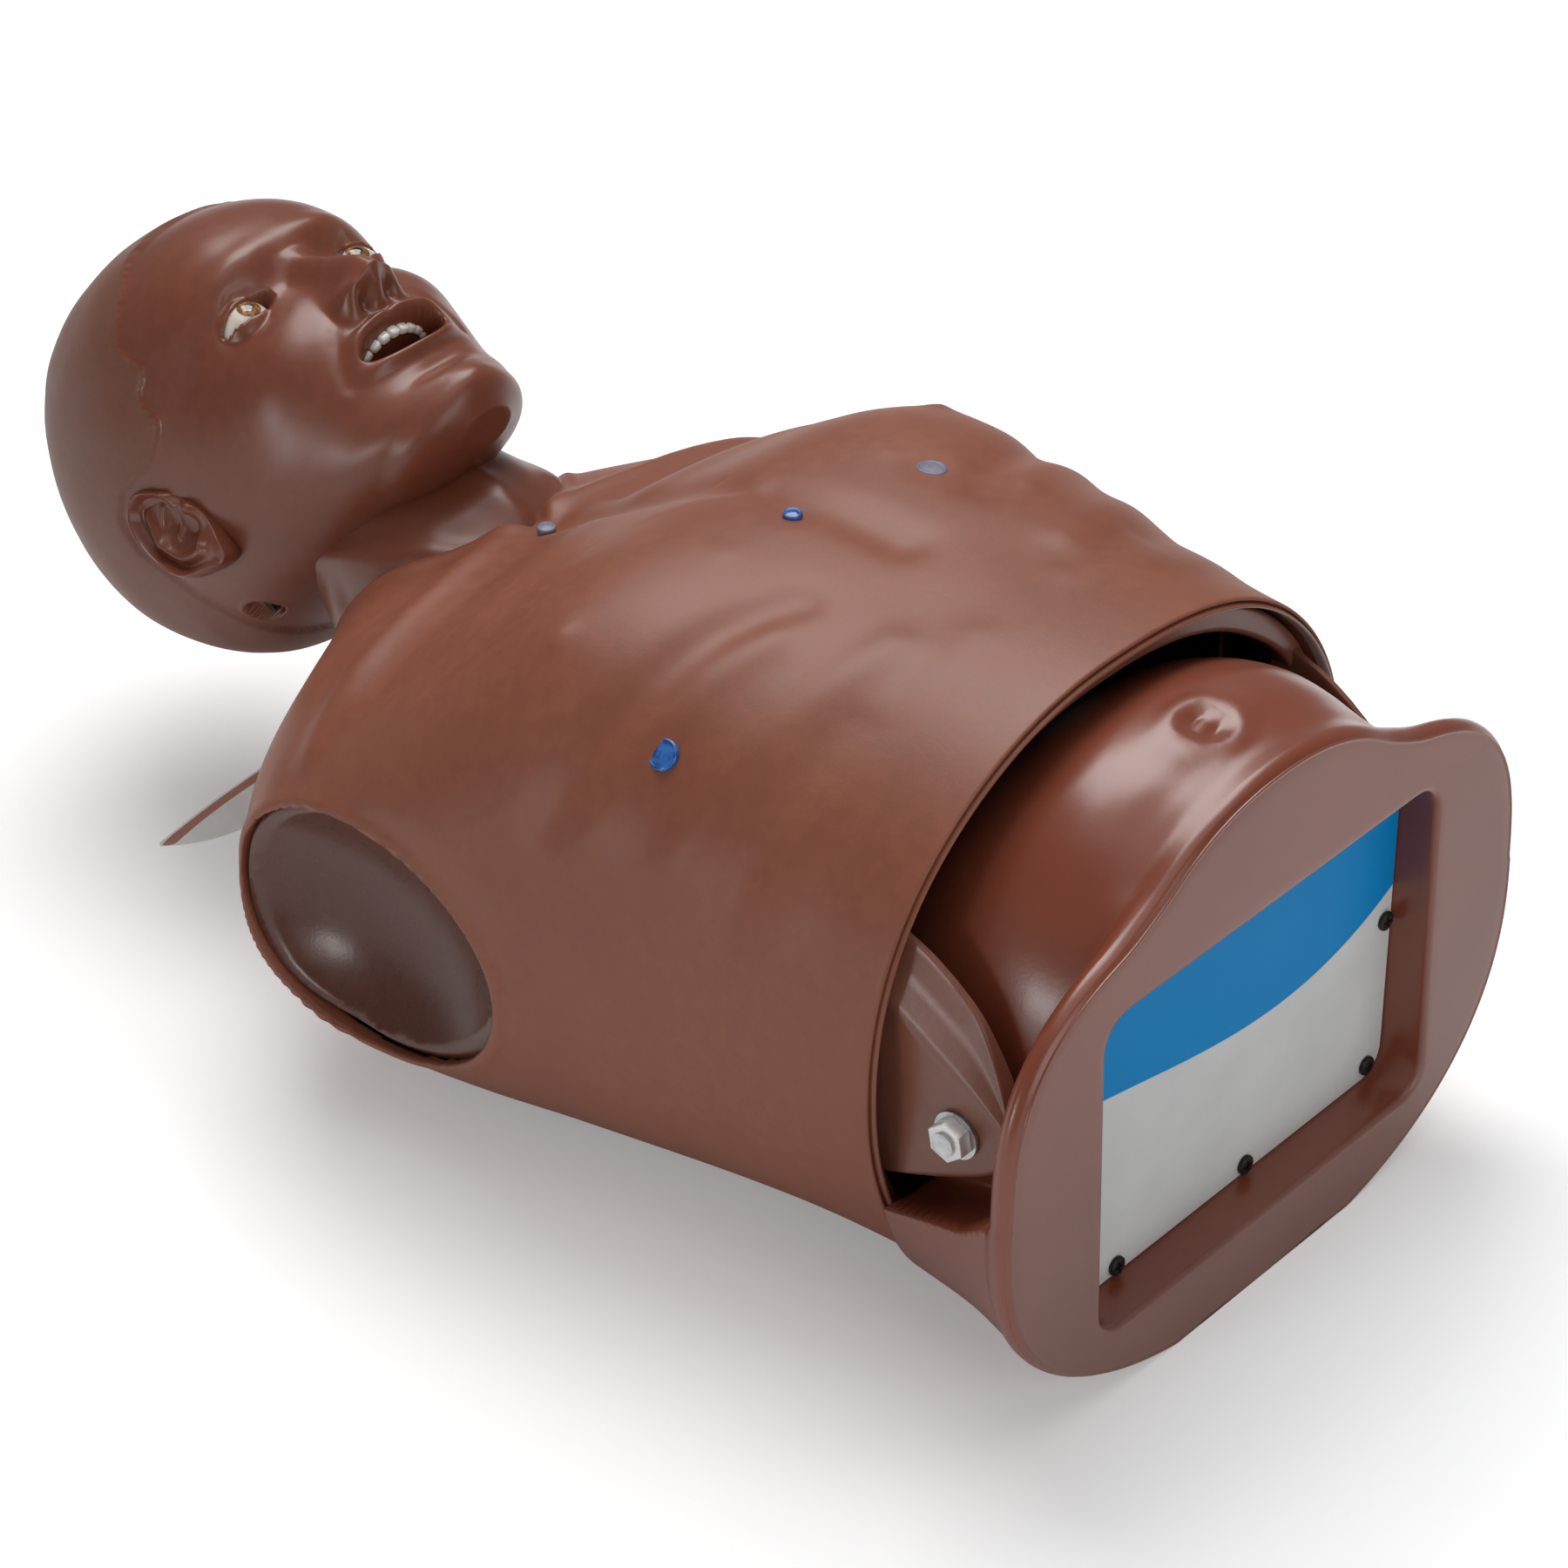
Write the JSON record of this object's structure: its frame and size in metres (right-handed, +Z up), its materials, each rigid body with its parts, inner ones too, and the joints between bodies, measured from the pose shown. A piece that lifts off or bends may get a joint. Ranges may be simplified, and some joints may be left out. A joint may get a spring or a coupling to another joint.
{
  "type": "heart and lung training torso",
  "caption": "Life-size training torso lying on its back: turning neck, tilting head, sprung chest plate, vinyl chest skin, bolted abdomen with a recessed end panel.",
  "frame": {"origin": "centre of the bounding box at the table plane", "axes": "+Y from the flat end face to the crown, +Z up out of the chest, +X the torso's left"},
  "size_m": [0.34, 0.6475, 0.2841],
  "materials": {
    "chest_vinyl": "soft moulded vinyl skin",
    "body_shell": "moulded plastic, satin",
    "abdomen_vinyl": "moulded plastic, half gloss",
    "face_vinyl": "soft moulded vinyl",
    "panel_print": "pale panel with a blue field",
    "black_screw": "black oxide",
    "bright_steel": "plated steel",
    "contact_blue": "blue moulded stud",
    "tooth": "white moulded teeth",
    "tongue_red": "soft rubber",
    "eye": "glossy moulded eye",
    "speaker_black": "black speaker",
    "unit_grey": "grey electronics case",
    "battery_wrap": "shrink-wrapped cells",
    "plate_grey": "moulded chest plate",
    "spring_steel": "spring steel"
  },
  "bodies": {
    "torso": {"torso_shell": "body_shell", "chest_skin": "chest_vinyl", "right_contact_stud": "contact_blue", "left_contact_stud": "contact_blue", "centre_contact_stud": "contact_blue", "upper_contact_stud": "contact_blue", "neck_socket": "plate_grey", "spring_base": "plate_grey", "guide_post": "bright_steel", "compression_spring": "spring_steel"},
    "chest": {"chest_plate": "plate_grey", "heart_speaker": "speaker_black", "right_lung_speaker": "speaker_black", "left_lung_speaker": "speaker_black"},
    "neck": {"neck": "face_vinyl", "neck_retainer": "plate_grey"},
    "head": {"head": "face_vinyl", "right_eye": "eye", "left_eye": "eye", "upper_teeth": "tooth", "lower_teeth": "tooth", "tongue": "tongue_red", "nape_screws": "black_screw", "tilt_pin": "bright_steel"},
    "abdomen": {"abdomen_shell": "abdomen_vinyl", "end_panel": "panel_print", "panel_screws": "black_screw", "control_unit": "unit_grey", "battery_pack": "battery_wrap", "right_hip_bolt": "bright_steel", "left_hip_bolt": "bright_steel", "right_hip_washer": "bright_steel", "left_hip_washer": "bright_steel", "right_hip_nut": "bright_steel", "left_hip_nut": "bright_steel"}
  },
  "joints": [
    {"name": "chest_press", "type": "slide", "parent": "torso", "child": "chest", "axis": [0, 0, -1], "range_m": [0, 0.05], "stiffness_N_per_m": 8000, "deforming": ["compression_spring"]},
    {"name": "neck_turn", "type": "hinge", "parent": "torso", "child": "neck", "pos_m": [0, 0.067, 0.126], "axis": [0, 0.9063, 0.4226], "range_deg": [-60, 60]},
    {"name": "head_tilt", "type": "hinge", "parent": "neck", "child": "head", "pos_m": [0, 0.15763, 0.16826], "axis": [1, 0, 0], "range_deg": [-20, 5]},
    {"name": "waist_bend", "type": "hinge", "parent": "torso", "child": "abdomen", "pos_m": [0, -0.276, 0.124], "axis": [-1, 0, 0], "range_deg": [0, 12]}
  ]
}
